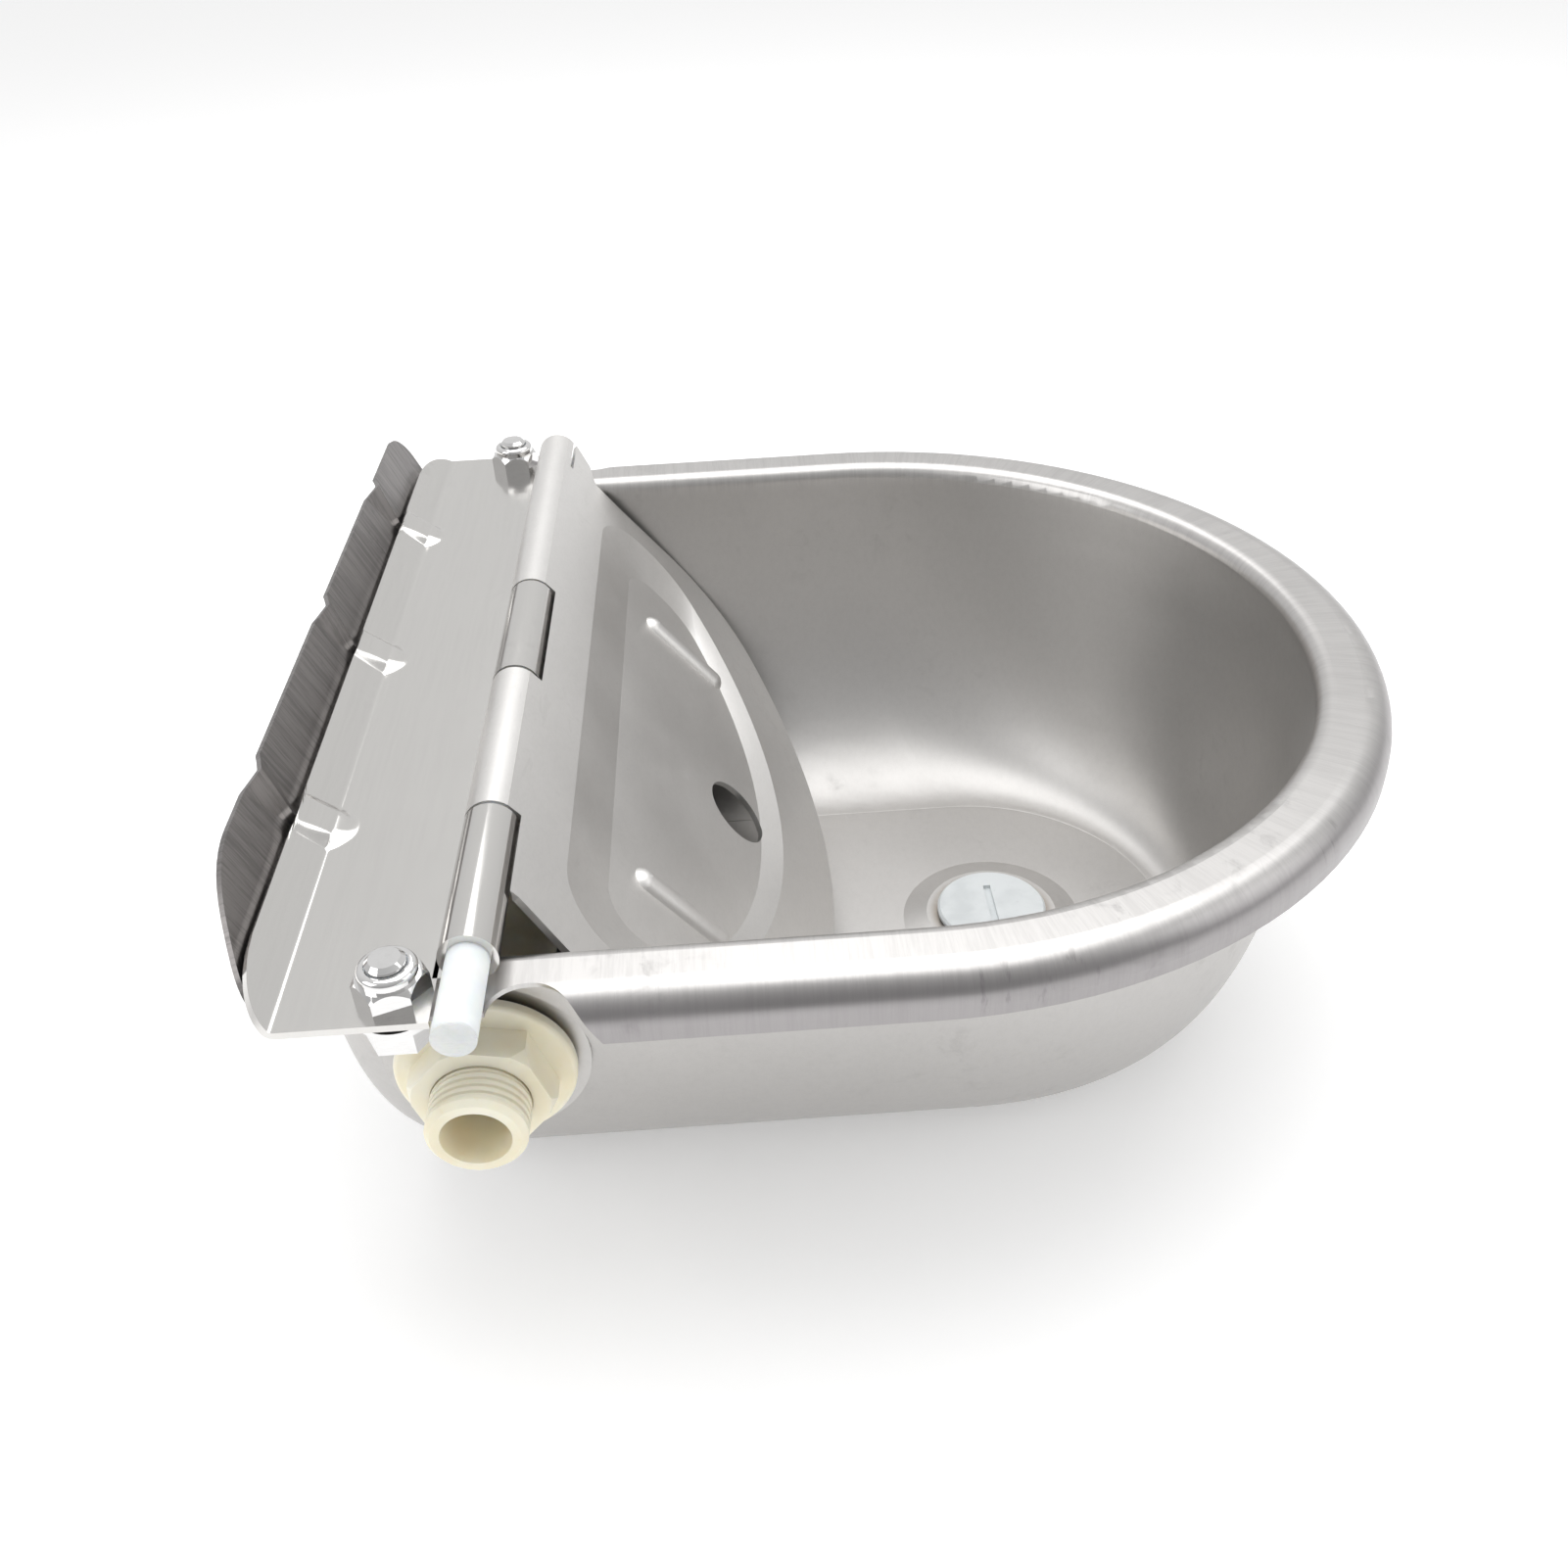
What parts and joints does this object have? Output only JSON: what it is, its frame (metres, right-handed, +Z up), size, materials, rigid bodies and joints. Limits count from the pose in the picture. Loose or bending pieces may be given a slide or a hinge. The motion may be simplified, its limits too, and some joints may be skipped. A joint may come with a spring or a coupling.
{
  "type": "livestock drinking bowl",
  "caption": "D-shaped sheet-metal drinking bowl for livestock with rolled rim, deck plate, hinged guard cover, float valve with threaded side inlet and floor drain plug.",
  "frame": {"origin": "centre of the flat base, on its underside", "axes": "+X from the wall side towards the round front, +Y along the hinge away from the water inlet, +Z up"},
  "size_m": [0.2732, 0.2785, 0.1196],
  "materials": {
    "stainless_bowl": "satin, softly blasted inside, brushed rim",
    "stainless_plate": "semi-gloss mill finish",
    "polished_steel": "polished",
    "white_nylon": "matte, slightly translucent",
    "ivory_plastic": "satin, slightly translucent",
    "black_rubber": "matte",
    "brass": "machined",
    "white_plastic": "matte",
    "grey_plastic": "matte"
  },
  "bodies": {
    "base": {"bowl": "stainless_bowl", "deck_plate": "stainless_plate", "deck_bolts": "polished_steel", "deck_washers": "polished_steel", "lock_nuts": "polished_steel", "nylon_rings": "white_nylon", "valve_body": "ivory_plastic", "inlet_nut": "ivory_plastic", "outer_gasket": "black_rubber", "inner_gasket": "black_rubber", "nozzle_seat": "brass", "lever_pin": "polished_steel", "pin_clip": "polished_steel", "drain_gasket": "black_rubber", "drain_nut": "grey_plastic"},
    "cover": {"guard_cover": "stainless_plate"},
    "rod": {"hinge_rod": "white_nylon"},
    "plunger": {"plunger": "white_plastic", "plunger_seal": "black_rubber"},
    "lever": {"float_lever": "ivory_plastic", "float": "white_plastic", "float_bolt": "brass", "float_nuts": "brass"},
    "plug": {"drain_plug": "grey_plastic"}
  },
  "joints": [
    {"name": "cover_hinge", "type": "hinge", "parent": "base", "child": "cover", "pos_m": [-0.088, 0, 0.1064], "axis": [0, -1, 0], "range_deg": [0, 150]},
    {"name": "rod_pull", "type": "slide", "parent": "base", "child": "rod", "axis": [0, -1, 0], "range_m": [0, 0.27]},
    {"name": "float_swing", "type": "hinge", "parent": "base", "child": "lever", "pos_m": [-0.091, -0.049, 0.0597], "axis": [1, 0, 0], "range_deg": [0, 10.3]},
    {"name": "plunger_slide", "type": "slide", "parent": "base", "child": "plunger", "axis": [0, -1, 0], "range_m": [0, 0.0018]},
    {"name": "drain_plug_lift", "type": "slide", "parent": "base", "child": "plug", "axis": [0, 0, 1], "range_m": [0, 0.04]}
  ],
  "couplings": [
    {"joint": "plunger_slide", "follows": "float_swing", "m_per_rad": 0.01}
  ]
}
